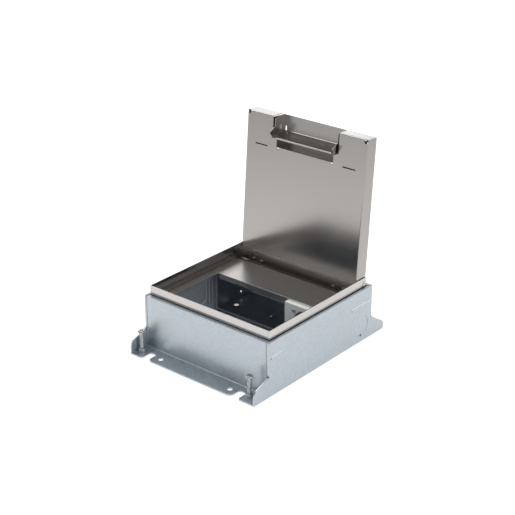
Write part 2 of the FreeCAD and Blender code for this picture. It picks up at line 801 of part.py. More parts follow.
def bracket_screws():
    seat = (device_screw_x, device_face_y, device_screw_z)
    screws = [small_screw(seat, (0, -1, 0), device_sheet + device_screw_end)]
    seat_z = carrier_top + device_sheet
    for x in foot_screw_x:
        length = device_sheet + carrier_sheet
        screws.append(small_screw((x, foot_screw_y(), seat_z), (0, 0, 1), length))
    return screws


# ---------------------------------------------------------------- lid, drawn shut


def lid_tray():
    """Tray open upwards, its foot edges rounded, with the outlet's notch in the front."""
    block = box(-lid_half, lid_half, lid_front, lid_rear, lid_under, lid_top)
    foot = [e for e in block.Edges if abs(e.CenterOfMass.z - lid_under) < 1e-6]
    block = block.makeFillet(lid_bend, foot)
    t = lid_sheet
    inside = box(-lid_half + t, lid_half - t, lid_front + t, lid_rear - t, lid_under + t, lid_top + through)
    inner_foot = [e for e in inside.Edges if abs(e.CenterOfMass.z - lid_under - t) < 1e-6]
    inside = inside.makeFillet(lid_bend - t, inner_foot)
    tray = block.cut(inside)
    cuts = [notch_cut()]
    for side in (-1, 1):
        corner = (side * (lid_half - corner_relief_in), lid_front + corner_relief_in, lid_under - through)
        cuts.append(rod(corner, (0, 0, 1), corner_relief_r, lid_bend + through))
        x0, x1 = sorted(side * x for x in lid_slot_x)
        y = lid_front + lid_slot_from_front
        cuts.append(slot(x0, x1, y, lid_slot_width, lid_under - through, lid_under + t + through))
        pivot = (side * (lid_half - t - through), hinge_y, hinge_z)
        cuts.append(rod(pivot, (side, 0, 0), hinge_pin_r + running_gap, t + 2 * through))
    return tray.cut(cuts)


def notch_corners(grow):
    """Plan of the outlet's notch, moved outwards by grow."""
    wide = notch_half + grow
    narrow = notch_inner_half + grow
    step = lid_front + notch_step + grow
    back = lid_front + notch_back + grow
    right = [(wide, step, 0), (narrow, step, 0), (narrow, back, 0)]
    left = [(-x, y, r) for x, y, r in reversed(right)]
    return right + left


def notch_cut():
    front = [(-notch_half, lid_front - through, 0), (notch_half, lid_front - through, 0)]
    face = outline(front + notch_corners(0), in_xy)
    face.translate(V(0, 0, lid_under - through))
    notch = face.extrude(V(0, 0, lid_height + 2 * through))
    back = lid_front + notch_back
    relief_x = notch_inner_half - notch_corner_r
    holes = []
    for x in (-relief_x, relief_x):
        holes.append(rod((x, back, lid_under - through), (0, 0, 1), notch_corner_r, lid_sheet + through))
    return merge([notch] + holes)


def lid_liner():
    """Stiffening plate lying on the tray's floor, cut out round the outlet's pocket."""
    reach = lid_half - lid_sheet - liner_gap
    front = lid_front + lid_sheet + liner_gap
    rear = lid_rear - lid_sheet - liner_gap
    away = pocket_sheet + liner_gap
    rim = [(-reach, front, 0), (-reach, rear, 0), (reach, rear, 0), (reach, front, 0)]
    edge = [(notch_half + away, front, 0)] + notch_corners(away) + [(-notch_half - away, front, 0)]
    plate = outline(rim + edge, in_xy)
    plate.translate(V(0, 0, lid_under + lid_sheet))
    return plate.extrude(V(0, 0, liner_sheet))


def outlet_pocket():
    """Wall round the notch that closes the tray's recess, and a cover behind the flap."""
    t = pocket_sheet
    front = lid_front + lid_bend
    start = [(-notch_half - t, front, 0), (-notch_half, front, 0)]
    inner = [(x, y, r) for x, y, r in reversed(notch_corners(0))]
    middle = [(notch_half, front, 0), (notch_half + t, front, 0)]
    wall = outline(start + inner + middle + notch_corners(t), in_xy)
    floor = lid_under + lid_sheet
    wall.translate(V(0, 0, floor))
    wall = wall.extrude(V(0, 0, lid_top - floor))
    front_y = lid_front + pocket_cover_from
    front_edge = [(-notch_half, front_y, 0), (notch_half, front_y, 0)]
    cover = outline(front_edge + notch_corners(0), in_xy)
    cover.translate(V(0, 0, lid_top - t))
    wall = merge([wall, cover.extrude(V(0, 0, t))])
    holes = []
    for side in (-1, 1):
        start_x = side * (notch_half - through)
        holes.append(rod((start_x, flap_y, flap_z), (side, 0, 0), flap_pin_r, t + 2 * through))
    return wall.cut(holes)


def outlet_flap():
    """Cord outlet and handle: a cover flush with the lid's top, a grip wall with a beaded lip, two ears."""
    t = flap_sheet
    front = lid_front + flap_front_gap
    fold_y = lid_front + flap_fold
    lip_y = lid_front + flap_lip
    lip_z = lid_under - flap_lip_drop
    bent = [(front, lid_top, 0), (fold_y, lid_top, flap_bend + t), (lip_y, lip_z, 0)]
    bent += [(lip_y - t, lip_z, 0), (fold_y - t, lid_top - t, flap_bend), (front, lid_top - t, 0)]
    sheet = outline(bent, in_yz)
    sheet.translate(V(-flap_half, 0, 0))
    sheet = sheet.extrude(V(2 * flap_half, 0, 0))
    bead = rod((-flap_half, lip_y - t / 2, lip_z), (1, 0, 0), flap_bead_r, 2 * flap_half)
    parts = [sheet, bead]
    reliefs = []
    ear = [(front, lid_top, 0)] + [(lid_front + s, lid_under + n, flap_ear_r) for s, n in flap_ear]
    ear.append((fold_y - flap_ear_set, lid_top, flap_ear_r))
    relief_z = lip_z + flap_lip_relief
    for side in (-1, 1):
        x0, x1 = sorted((side * (flap_half - t), side * (flap_half - flap_lip_side)))
        gap = box(x0, x1, fold_y - t, lip_y + through + flap_bead_r, lip_z - 2 * flap_bead_r, relief_z)
        reliefs.append(gap)
    parts = [merge(parts).cut(reliefs)]
    for x0 in (-flap_half, flap_half - t):
        plate = outline(ear, in_yz)
        plate.translate(V(x0, 0, 0))
        parts.append(plate.extrude(V(t, 0, 0)))
    flap = merge(parts)
    cuts = []
    for side in (-1, 1):
        start_x = side * (flap_half - t - through)
        cuts.append(rod((start_x, flap_y, flap_z), (side, 0, 0), flap_pin_r + running_gap, t + 2 * through))
        x = side * flap_slot_x
        half = flap_slot_width / 2
        y0 = lid_front + flap_slot_from
        y1 = lid_front + flap_slot_to
        cuts.append(box(x - half, x + half, y0, y1, lid_top - 3 * t, lid_top + through))
    return flap.cut(cuts)


def flap_pin(side):
    """Rivet-like pin fixed in the pocket wall, the flap's ear turning on its end."""
    seat = notch_half + pocket_sheet
    length = seat - flap_half + flap_sheet + flap_pin_inside
    pin = rod((side * seat, flap_y, flap_z), (-side, 0, 0), flap_pin_r, length)
    middle = (side * seat, flap_y, flap_z)
    head = pan_head(middle, (side, 0, 0), flap_pin_head_r, flap_pin_head, flap_pin_edge)
    return merge([pin, head])


# ---------------------------------------------------------------- nodes

os.makedirs("parts", exist_ok=True)

right_wall = side_wall()
export("side_wall_right", [right_wall])
export("side_wall_left", [mirrored(right_wall, (1, 0, 0))])
front = front_wall()
export("front_wall", [front])
export("rear_wall", [mirrored(front, (0, 1, 0))])
export("base_plate", [base_plate()])
export("screw_collars", screw_collars())

for end, sign in (("front", -1), ("rear", 1)):
    span = front_bar if sign < 0 else rear_bar
    for side_name, side in (("left", -1), ("right", 1)):
        export("corner_bracket_" + end + "_" + side_name, [corner_bracket(side, span)])
        place = -screw_x[0] if side < 0 else screw_x[1]
        export("levelling_screw_" + end + "_" + side_name, [levelling_screw(place, sign * screw_y)])

export("frame_rim", [frame_rim()])
export("cover_plate", [cover_plate()])
export("seal_retainer", [seal_retainer()])
export("rear_seal", rear_seal())
export("seal_clips", seal_clips())
export("plate_rivets", plate_rivets())
export("rim_rivets", [rim_rivet(-1), rim_rivet(1)])
export("hinge_pin_left", [hinge_pin(-1)])
export("hinge_pin_right", [hinge_pin(1)])

export("device_carrier", [device_carrier()])
export("device_bracket", [device_bracket()])
export("bracket_screws", bracket_screws())

export("lid_tray", [opened(lid_tray())])
export("lid_liner", [opened(lid_liner())])
export("outlet_pocket", [opened(outlet_pocket())])
export("outlet_flap", [opened(outlet_flap())])
export("flap_pin_left", [opened(flap_pin(-1))])
export("flap_pin_right", [opened(flap_pin(1))])
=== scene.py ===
import json
import math

import bmesh
import bpy
from bpy.props import FloatProperty, FloatVectorProperty, IntProperty, PointerProperty
from mathutils import Matrix, Vector

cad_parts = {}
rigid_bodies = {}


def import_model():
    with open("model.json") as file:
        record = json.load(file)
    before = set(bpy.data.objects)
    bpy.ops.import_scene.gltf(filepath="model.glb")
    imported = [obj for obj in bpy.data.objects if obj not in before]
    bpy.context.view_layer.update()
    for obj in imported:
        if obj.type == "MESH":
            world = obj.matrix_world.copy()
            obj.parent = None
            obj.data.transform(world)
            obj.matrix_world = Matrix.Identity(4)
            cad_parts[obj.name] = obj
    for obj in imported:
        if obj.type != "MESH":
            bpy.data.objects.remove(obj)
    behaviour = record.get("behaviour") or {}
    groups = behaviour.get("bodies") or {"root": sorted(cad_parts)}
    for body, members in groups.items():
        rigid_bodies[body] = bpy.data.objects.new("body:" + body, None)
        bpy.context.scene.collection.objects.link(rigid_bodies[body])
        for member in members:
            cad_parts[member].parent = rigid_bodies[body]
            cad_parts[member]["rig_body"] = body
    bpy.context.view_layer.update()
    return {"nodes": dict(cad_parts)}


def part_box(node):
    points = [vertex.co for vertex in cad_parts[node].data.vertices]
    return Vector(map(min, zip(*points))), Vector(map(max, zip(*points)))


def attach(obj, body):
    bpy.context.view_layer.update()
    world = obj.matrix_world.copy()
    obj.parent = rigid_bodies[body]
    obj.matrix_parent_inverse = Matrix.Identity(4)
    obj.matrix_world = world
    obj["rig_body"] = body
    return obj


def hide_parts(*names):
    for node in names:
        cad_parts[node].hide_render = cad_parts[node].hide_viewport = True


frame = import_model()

bl_info = {
    "name": "Floor socket box",
    "version": (1, 0, 0),
    "blender": (4, 5, 0),
    "location": "3D Viewport > Sidebar > Floor box",
    "description": "Dresses the floor socket box: folded sheets, screws, rivets, seal and studio",
    "category": "Object",
}

NODES = frame["nodes"]
MM = 0.001
WHITE = (1, 1, 1, 1)

# Nodes that share a finish, in the order in which they are dressed.
SIDE_WALLS = ["side_wall_left", "side_wall_right"]
GALVANISED = [
    "front_wall", "rear_wall", "base_plate",
    "corner_bracket_front_left", "corner_bracket_front_right",
    "corner_bracket_rear_left", "corner_bracket_rear_right", "screw_collars",
]
STAINLESS = [
    ("frame_rim", "frame"), ("cover_plate", "plate"), ("seal_retainer", "frame"),
    ("hinge_pin_left", "frame"), ("hinge_pin_right", "frame"), ("seal_clips", "frame"),
]
LEVELLING_SCREWS = [
    "levelling_screw_front_left", "levelling_screw_front_right",
    "levelling_screw_rear_left", "levelling_screw_rear_right",
]
# Node, height of a rivet's head, radius of its shank. The visual shank is a little shorter.
RIVETS = [("plate_rivets", 0.4 * MM, 1.3 * MM), ("rim_rivets", 1.3 * MM, 1.2 * MM)]
SHANK_SHARE = 0.98

# Clean-up of the solids' meshes: distances that count as nothing, and an angle that does.
WELD = 0.002 * MM
SLIVER = 0.001 * MM
FLAT_ANGLE = math.radians(0.3)
# Edges sharper than this are rounded.
SHARP_ANGLE = math.radians(35)
# Shading leans to the wider of two faces that differ by more than a square millimetre.
WIDE_FACE_WEIGHT = 80
SAME_AREA = MM ** 2

# The base plate ends just inside the walls, so its far corner tells where they are.
PLATE_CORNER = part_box("base_plate")[1]
# A side wall's bars and knock-out lie between these heights, no further in than this.
PRESSED_FROM, PRESSED_TO = 12 * MM, 60 * MM
PRESSED_DEPTH = 2 * MM
# A bar stands out beyond this distance; its slopes face sideways less than this.
BAR_FROM = 2.1 * MM
BAR_SLOPE = 0.9
# What lies further in than the carrier's ribbed wings is the part seen from above.
CARRIER_WING = 3.5 * MM

# Levelling screw: height of the ridge and lift of the core, as shares of the pitch, and the
# steps round the screw.
RIDGE_SHARE = 0.5
ROOT_SHARE = 0.03
ROUND_STEPS = 20

# Where a texture's value takes on its dark and its light colour.
TINT_RUN = (0.25, 0.75)

# Lamp, its place and its size in metres; its power is a setting of the same name.
LAMPS = [
    ("key", (-1.20, 0.0, 1.80), (1.0, 0.8)),
    ("overhead", (-0.1, -0.3, 2.0), (1.2, 1.2)),
    ("rim", (0.95, 1.70, 1.45), (0.8, 0.5)),
    ("back", (-1.30, 1.45, 0.92), (0.9, 0.6)),
    ("fill", (1.5, -0.2, 1.1), (1.2, 1.2)),
]
LAMP_TARGET = (0, 0, 0.1)
CAMERA_PLACE = (0.9930, -1.1908, 0.8252)
CAMERA_TARGET = (-0.0030, 0.0, 0.1197)
CAMERA_SENSOR = 36.0
CAMERA_NEAR = 0.05

# Level of the horizon in reflections, and the two heights on the unit sphere between which
# it goes over to the ceiling's.
HORIZON_LEVEL = 0.95
HORIZON_RUN = (0.20, 0.46)
# Half the floor's width, and how far it lies under the object.
FLOOR_HALF = 6.0
FLOOR_DROP = 0.2 * MM
FLOOR_GREY = (0.8, 0.8, 0.8, 1)
# The floor's glow for the camera, then in reflections near and far, and these distances.
FLOOR_GLOW = 0.6
FLOOR_LEVELS = (0.37, 0.12)
FLOOR_RUN = (0.3, 1.3)


# ------------------------------------------------------------------ settings


class SheetSettings(bpy.types.PropertyGroup):
    """Sizes of the folded sheet's edges."""

    edge_round: FloatProperty(
        name="Edge rounding", description="Rounding of the walls' cut edges",
        default=0.45 * MM, min=0.02 * MM, subtype="DISTANCE", unit="LENGTH")
    fine_round: FloatProperty(
        name="Fine edge rounding", description="Rounding of the thin stainless edges",
        default=0.22 * MM, min=0.02 * MM, subtype="DISTANCE", unit="LENGTH")
    edge_steps: IntProperty(
        name="Edge steps", description="Facets across a rounded edge", default=2, min=1, max=6)


class ScrewSettings(bpy.types.PropertyGroup):
    """Sizes of the levelling screws and the small fasteners."""

    thread_radius: FloatProperty(
        name="Thread radius", description="Outer radius of the levelling screw's thread",
        default=3.0 * MM, min=1.0 * MM, subtype="DISTANCE", unit="LENGTH")
    pitch: FloatProperty(
        name="Thread pitch", description="Rise of the levelling screw's thread in one turn",
        default=1.0 * MM, min=0.2 * MM, subtype="DISTANCE", unit="LENGTH")
    head_height: FloatProperty(
        name="Head height", description="Height of the levelling screw's head with its cone",
        default=4.4 * MM, min=1.0 * MM, subtype="DISTANCE", unit="LENGTH")
    rivet_edge: FloatProperty(
        name="Rivet edge", description="Upright edge of a rivet's head, as a share of its height",
        default=0.35, min=0.05, max=1.0)


class FinishSettings(bpy.types.PropertyGroup):
    """Colours of the finishes."""

    zinc: FloatVectorProperty(
        name="Zinc coating", description="Colour of the galvanised sheet",
        default=(0.56, 0.61, 0.655), size=3, min=0, max=1, subtype="COLOR")
    # Painted highlight: the rounded edges' colours are lighter than the sheets' own, to stand in
    # for the highlights along the edges.
    zinc_edge_highlight: FloatVectorProperty(
        name="Zinc edge highlight", description="Colour of the galvanised sheet's rounded edges",
        default=(0.86, 0.89, 0.91), size=3, min=0, max=1, subtype="COLOR")
    steel_edge_highlight: FloatVectorProperty(
        name="Steel edge highlight", description="Colour of the stainless sheet's rounded edges",
        default=(0.90, 0.88, 0.86), size=3, min=0, max=1, subtype="COLOR")
    frame_steel: FloatVectorProperty(
        name="Frame steel", description="Colour of the frame's ground stainless steel",
        default=(0.63, 0.605, 0.59), size=3, min=0, max=1, subtype="COLOR")
    lid_steel: FloatVectorProperty(
        name="Lid steel", description="Colour of the lid's ground stainless steel",
        default=(0.45, 0.432, 0.418), size=3, min=0, max=1, subtype="COLOR")
    outlet_steel: FloatVectorProperty(
        name="Outlet steel",
        description="Colour of the duller steel of the outlet's flap and pocket",
        default=(0.42, 0.403, 0.39), size=3, min=0, max=1, subtype="COLOR")
    # Painted shade: the near-black liner stands in for the shade inside the closed lid tray.
    liner: FloatVectorProperty(
        name="Liner", description="Colour of the dark plate inside the lid",
        default=(0.05, 0.05, 0.052), size=3, min=0, max=1, subtype="COLOR")
    screw_zinc: FloatVectorProperty(
        name="Screw plating", description="Colour of the screws' bright plating",
        default=(0.66, 0.68, 0.69), size=3, min=0, max=1, subtype="COLOR")
    enamel: FloatVectorProperty(
        name="Bracket coating", description="Colour of the device bracket's coating",
        default=(0.92, 0.96, 0.94), size=3, min=0, max=1, subtype="COLOR")
    rubber: FloatVectorProperty(
        name="Rubber", description="Colour of the seal",
        default=(0.018, 0.018, 0.02), size=3, min=0, max=1, subtype="COLOR")


class StageSettings(bpy.types.PropertyGroup):
    """Camera and light."""

    lens: FloatProperty(
        name="Focal length", description="Camera lens, for a 36 mm sensor",
        default=92.79, min=10, subtype="DISTANCE_CAMERA", unit="CAMERA")
    key: FloatProperty(
        name="Key light", description="Power of the lamp above the left, which lights the edges",
        default=9.0, min=0, subtype="POWER", unit="POWER")
    overhead: FloatProperty(
        name="Overhead light", description="Power of the large lamp high above the object",
        default=6.0, min=0, subtype="POWER", unit="POWER")
    fill: FloatProperty(
        name="Fill light", description="Power of the lamp on the right",
        default=5.0, min=0, subtype="POWER", unit="POWER")
    back: FloatProperty(
        name="Back light",
        description="Power of the low lamp behind on the left, mirrored in the plates",
        default=2.0, min=0, subtype="POWER", unit="POWER")
    rim: FloatProperty(
        name="Rim light", description="Power of the lamp behind on the right",
        default=4.0, min=0, subtype="POWER", unit="POWER")
    ambient: FloatProperty(
        name="Ambient light", description="Strength of the even light from all round",
        default=0.45, min=0, max=2)
    ceiling: FloatProperty(
        name="Ceiling", description="Brightness of what steel reflects from above",
        default=0.16, min=0, max=1)


class FloorBoxSettings(bpy.types.PropertyGroup):
    """All the settings of the floor socket box."""

    sheet: PointerProperty(type=SheetSettings, name="Sheet", description="Sheet edges")
    screw: PointerProperty(type=ScrewSettings, name="Screws", description="Screws and rivets")
    finish: PointerProperty(type=FinishSettings, name="Finish", description="Colours")
    stage: PointerProperty(type=StageSettings, name="Stage", description="Camera and light")


def settings():
    """The scene's settings of the floor socket box."""
    return bpy.context.scene.floor_box


# ------------------------------------------------------------------ node trees


class Tree:
    """A node tree, with short calls to add, set and join nodes."""

    def __init__(self, tree):
        self.tree = tree

    def node(self, kind, inputs=None, **values):
        node = self.tree.nodes.new(kind)
        for key, value in values.items():
            setattr(node, key, value)
        for key, value in (inputs or {}).items():
            self.feed(value, node.inputs[key])
        return node

    def feed(self, value, socket):
        """Joins an input to another node's output, or sets it."""
        if isinstance(value, bpy.types.NodeSocket):
            self.tree.links.new(value, socket)
        else:
            socket.default_value = value

    def maths(self, kind, one, two=0.0):
        return self.node("ShaderNodeMath", {0: one, 1: two}, operation=kind).outputs["Value"]

    def between(self, value, low, high, start=0.0, end=1.0, kind="LINEAR"):
        """Runs from low to high while a value runs from start to end."""
        node = self.node("ShaderNodeMapRange", {
            "Value": value, "From Min": start, "From Max": end, "To Min": low, "To Max": high},
            interpolation_type=kind)
        return node.outputs["Result"]


# ------------------------------------------------------------------ materials


class Shader(Tree):
    """A material on the Principled shader."""

    def __init__(self, name):
        self.material = bpy.data.materials.new(name)
        self.material.use_nodes = True
        super().__init__(self.material.node_tree)
        self.bsdf = self.tree.nodes["Principled BSDF"]

    def place(self, scale=(1, 1, 1)):
        """Object coordinates, stretched by a scale for each axis."""
        coords = self.node("ShaderNodeTexCoord")
        mapping = self.node("ShaderNodeMapping", {
            "Vector": coords.outputs["Object"], "Scale": scale})
        return mapping.outputs["Vector"]

    def noise(self, vector, scale, detail, rough=0.55):
        node = self.node("ShaderNodeTexNoise", {
            "Vector": vector, "Scale": scale, "Detail": detail, "Roughness": rough})
        return node.outputs["Fac"]

    def cells(self, vector, scale):
        """One random grey for each cell."""
        cells = self.node("ShaderNodeTexVoronoi", {"Vector": vector, "Scale": scale})
        split = self.node("ShaderNodeSeparateColor", {"Color": cells.outputs["Color"]})
        return split.outputs["Red"]

    def tint(self, value, colour, dark, light):
        """The colour, darker where a value is low and lighter where it is high."""
        ramp = self.node("ShaderNodeValToRGB", {"Fac": value})
        for element, position, factor in zip(ramp.color_ramp.elements, TINT_RUN, (dark, light)):
            element.position = position
            element.color = (*(min(c * factor, 1.0) for c in colour), 1)
        self.feed(ramp.outputs["Color"], self.bsdf.inputs["Base Color"])

    def roughen(self, value, low, high):
        self.feed(self.between(value, low, high), self.bsdf.inputs["Roughness"])

    def bump(self, value, depth, strength):
        node = self.node("ShaderNodeBump", {
            "Distance": depth, "Strength": strength, "Height": value})
        self.feed(node.outputs["Normal"], self.bsdf.inputs["Normal"])

    def metal(self, amount=1.0):
        self.bsdf.inputs["Metallic"].default_value = amount


def galvanised_sheet(name, colour, metal):
    """Zinc-coated sheet with a fine spangle."""
    s = Shader(name)
    place = s.place()
    spangle = s.between(s.cells(place, scale=420), low=0, high=0.6)
    cloud = s.between(s.noise(place, scale=35, detail=3), low=0, high=0.5)
    both = s.maths("ADD", spangle, cloud)
    s.tint(both, colour, dark=0.93, light=1.05)
    s.roughen(both, low=0.30, high=0.46)
    s.bump(s.noise(place, scale=900, detail=3), depth=0.02 * MM, strength=0.25)
    s.metal(metal)
    return s.material


def ground_steel(name, colour, low, high, grain=(4, 40, 40)):
    """Stainless sheet with a fine grain, stretched along the axis with the smallest scale."""
    s = Shader(name)
    fine = s.between(s.noise(s.place(grain), scale=60, detail=6, rough=0.7), low=0, high=0.7)
    cloud = s.between(s.noise(s.place(), scale=14, detail=2), low=0, high=0.3)
    both = s.maths("ADD", fine, cloud)
    s.tint(both, colour, dark=0.97, light=1.03)
    s.roughen(both, low, high)
    s.metal()
    return s.material


def painted_edge_highlight(name, colour):
    """Painted highlight: brighter, smoother metal on the rounded edges of a sheet, lighter in
    colour to stand in for the highlights along them.
    """
    s = Shader(name)
    highlight_mottle = s.noise(s.place(), scale=120, detail=2)
    s.tint(highlight_mottle, colour, dark=0.94, light=1.03)
    s.roughen(highlight_mottle, low=0.16, high=0.26)
    s.metal()
    return s.material


def plated_screw(colour):
    """Bright zinc plating, slightly mottled."""
    s = Shader("bright zinc plating")
    mottle = s.noise(s.place(), scale=500, detail=3)
    s.tint(mottle, colour, dark=0.9, light=1.08)
    s.roughen(mottle, low=0.18, high=0.34)
    s.metal()
    return s.material


def coated_bracket(colour):
    """White coating with a faint orange peel."""
    s = Shader("white coating")
    peel = s.noise(s.place(), scale=700, detail=2)
    s.tint(peel, colour, dark=0.97, light=1.02)
    s.roughen(peel, low=0.32, high=0.42)
    s.bump(peel, depth=0.03 * MM, strength=0.3)
    s.bsdf.inputs["Coat Weight"].default_value = 0.15
    return s.material


def black_rubber(colour):
    """Dull black rubber with a fine grain."""
    s = Shader("black rubber")
    grain = s.noise(s.place(), scale=1200, detail=3)
    s.tint(grain, colour, dark=0.8, light=1.5)
    s.roughen(grain, low=0.55, high=0.72)
    s.bump(grain, depth=0.04 * MM, strength=0.4)
    return s.material


MAKERS = {
    "zinc": lambda look: galvanised_sheet("galvanised sheet", look.zinc, metal=0.95),
    "inner zinc": lambda look: galvanised_sheet("inner galvanised sheet", look.zinc, metal=0.45),
    "frame": lambda look: ground_steel("ground steel", look.frame_steel, 0.14, 0.16),
    "plate": lambda look: ground_steel("ground plate steel", look.frame_steel, 0.29, 0.31),
    "lid": lambda look: ground_steel("ground lid steel", look.lid_steel, 0.19, 0.21),
    "outlet": lambda look: ground_steel("ground outlet steel", look.outlet_steel, 0.23, 0.25),
    # Near-black liner: painted shade inside the lid.
    "liner": lambda look: ground_steel(
        "dark liner plate", look.liner, 0.5, 0.6, grain=(1, 1, 1)),
    # Painted highlight on the rounded edges of the zinc and stainless sheets.
    "zinc edge": lambda look: painted_edge_highlight("bright zinc edge", look.zinc_edge_highlight),
    "steel edge": lambda look: painted_edge_highlight("bright steel edge", look.steel_edge_highlight),
    "screw": lambda look: plated_screw(look.screw_zinc),
    "enamel": lambda look: coated_bracket(look.enamel),
    "rubber": lambda look: black_rubber(look.rubber),
}
# Finish of each look's rounded edges: a lighter colour, a painted highlight along them.
EDGES = {
    "zinc": "zinc edge", "frame": "steel edge", "plate": "steel edge", "lid": "steel edge",
    "outlet": "steel edge",
}
MADE = {}


def finish(name):
    """A named finish, made once."""
    if name not in MADE:
        MADE[name] = MAKERS[name](settings().finish)
    return MADE[name]


# ------------------------------------------------------------------ mesh tools


def new_object(name, data):
    """Object for a mesh, lamp or camera, in the scene's own collection."""
    made = bpy.data.objects.new(name, data)
    bpy.context.scene.collection.objects.link(made)
    return made


def bake(piece):
    """Turns a piece's modifiers into plain mesh."""
    bpy.context.view_layer.update()
    evaluated = piece.evaluated_get(bpy.context.evaluated_depsgraph_get())
    mesh = bpy.data.meshes.new_from_object(evaluated)
    piece.modifiers.clear()
    piece.data = mesh
    return piece


def even_normals(piece):
    """Smooth shading that keeps the flat faces flat."""
    for face in piece.data.polygons:
        face.use_smooth = True
    modifier = piece.modifiers.new("even normals", "WEIGHTED_NORMAL")
    modifier.keep_sharp = True
    modifier.weight = WIDE_FACE_WEIGHT
    modifier.thresh = SAME_AREA
    return bake(piece)


def merged_copy(node):
    """A node's mesh as one skin, its flat faces whole."""
    bm = bmesh.new()
    bm.from_mesh(NODES[node].data)
    bmesh.ops.remove_doubles(bm, verts=bm.verts, dist=WELD)
    bmesh.ops.dissolve_degenerate(bm, edges=bm.edges, dist=SLIVER)
    bmesh.ops.dissolve_limit(bm, angle_limit=FLAT_ANGLE, verts=bm.verts, edges=bm.edges)
    return bm


def in_wall_pressing(co):
    """True inside a side wall's face, where the bars and the knock-out are pressed."""
    inside = abs(co.y) < PLATE_CORNER[1] and PRESSED_FROM < co.z < PRESSED_TO
    return inside and abs(co.x) > PLATE_CORNER[0] - PRESSED_DEPTH


def rounded(node, width, plain=None):
    """Copy of a node with its sharp edges rounded, but for those with a plain corner."""
    bm = merged_copy(node)
    edges = [
        e for e in bm.edges if e.is_manifold and e.calc_face_angle(0) > SHARP_ANGLE
        and not (plain and any(plain(v.co) for v in e.verts))]
    made = bmesh.ops.bevel(
        bm, geom=edges, offset=width, segments=settings().sheet.edge_steps,
        profile=0.5, affect="EDGES", clamp_overlap=False)
    # The rounded faces take the second material, which for the sheets is a painted highlight.
    for face in made["faces"]:
        face.material_index = 1
    mesh = bpy.data.meshes.new(node + "_rounded")
    bm.to_mesh(mesh)
    bm.free()
    return even_normals(new_object(node + "_rounded", mesh))


def hand_over(piece, node):
    """Puts a finished piece on its node's body, in the node's place."""
    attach(piece, NODES[node]["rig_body"])
    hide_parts(node)
    return piece


def dress(node, width, look, plain=None):
    """Rounds a node and gives it a finish, with a brighter one on the rounded edges: a painted
    highlight.
    """
    piece = rounded(node, width, plain)
    piece.data.materials.clear()
    piece.data.materials.append(finish(look))
    piece.data.materials.append(finish(EDGES.get(look, look)))
    return hand_over(piece, node)


def paint_bar_highlights(piece):
    """The sloping edges of the pressed bars get the finish of a sheet's edge, a painted
    highlight.
    """
    for face in piece.data.polygons:
        raised = abs(face.center.x) > PLATE_CORNER[0] + BAR_FROM
        if raised and abs(face.normal.x) < BAR_SLOPE:
            face.material_index = 1


# ------------------------------------------------------------------ threads and rivets


class Grower(Tree):
    """A Geometry Nodes tree with named inputs, ending in real geometry with a material."""

    def __init__(self, name, inputs):
        super().__init__(bpy.data.node_groups.new(name, "GeometryNodeTree"))
        face = self.tree.interface
        face.new_socket("Geometry", in_out="INPUT", socket_type="NodeSocketGeometry")
        for label, value in inputs:
            socket = face.new_socket(label, in_out="INPUT", socket_type="NodeSocketFloat")
            socket.default_value = value
        face.new_socket("Material", in_out="INPUT", socket_type="NodeSocketMaterial")
        face.new_socket("Geometry", in_out="OUTPUT", socket_type="NodeSocketGeometry")
        self.given = self.node("NodeGroupInput")
        self.result = self.node("NodeGroupOutput")

    def take(self, label):
        return self.given.outputs[label]

    def vector(self, x=0.0, y=0.0, z=0.0):
        return self.node("ShaderNodeCombineXYZ", {"X": x, "Y": y, "Z": z}).outputs["Vector"]

    def moved(self, geometry, offset):
        node = self.node("GeometryNodeTransform", {"Geometry": geometry, "Translation": offset})
        return node.outputs["Geometry"]

    def joined(self, *pieces):
        node = self.node("GeometryNodeJoinGeometry")
        for piece in pieces:
            self.feed(piece, node.inputs["Geometry"])
        return node.outputs["Geometry"]

    def end(self, geometry):
        """Realize Instances and Set Material close every tree."""
        real = self.node("GeometryNodeRealizeInstances", {"Geometry": geometry})
        coat = self.node("GeometryNodeSetMaterial", {
            "Geometry": real.outputs["Geometry"], "Material": self.take("Material")})
        self.feed(coat.outputs["Geometry"], self.result.inputs["Geometry"])
        return self.tree


def thread_tree():
    """Shank with a ridge that climbs round it, standing on the origin."""
    g = Grower("Threaded shank", (("Radius", 3 * MM), ("Pitch", MM), ("Length", 27 * MM)))
    pitch = g.take("Pitch")
    length = g.take("Length")
    ridge = g.maths("MULTIPLY", pitch, RIDGE_SHARE)
    path_radius = g.maths("SUBTRACT", g.take("Radius"), ridge)
    climb = g.maths("SUBTRACT", length, pitch)
    spiral = g.node("GeometryNodeCurveSpiral", {
        "Resolution": ROUND_STEPS, "Rotations": g.maths("DIVIDE", climb, pitch),
        "Start Radius": path_radius, "End Radius": path_radius, "Height": climb})
    upright = g.node(
        "GeometryNodeSetCurveNormal", {"Curve": spiral.outputs["Curve"]}, mode="Z_UP")
    profile = g.node("GeometryNodeCurvePrimitiveCircle", {"Resolution": 4, "Radius": ridge})
    sweep = g.node("GeometryNodeCurveToMesh", {
        "Curve": upright.outputs["Curve"], "Profile Curve": profile.outputs["Curve"],
        "Fill Caps": True})
    raised = g.moved(sweep.outputs["Mesh"], g.vector(z=ridge))
    core = g.node("GeometryNodeMeshCylinder", {
        "Vertices": ROUND_STEPS, "Depth": length,
        "Radius": g.maths("ADD", path_radius, g.maths("MULTIPLY", pitch, ROOT_SHARE))})
    middle = g.moved(core.outputs["Mesh"], g.vector(z=g.maths("MULTIPLY", length, 0.5)))
    return g.end(g.joined(raised, middle))


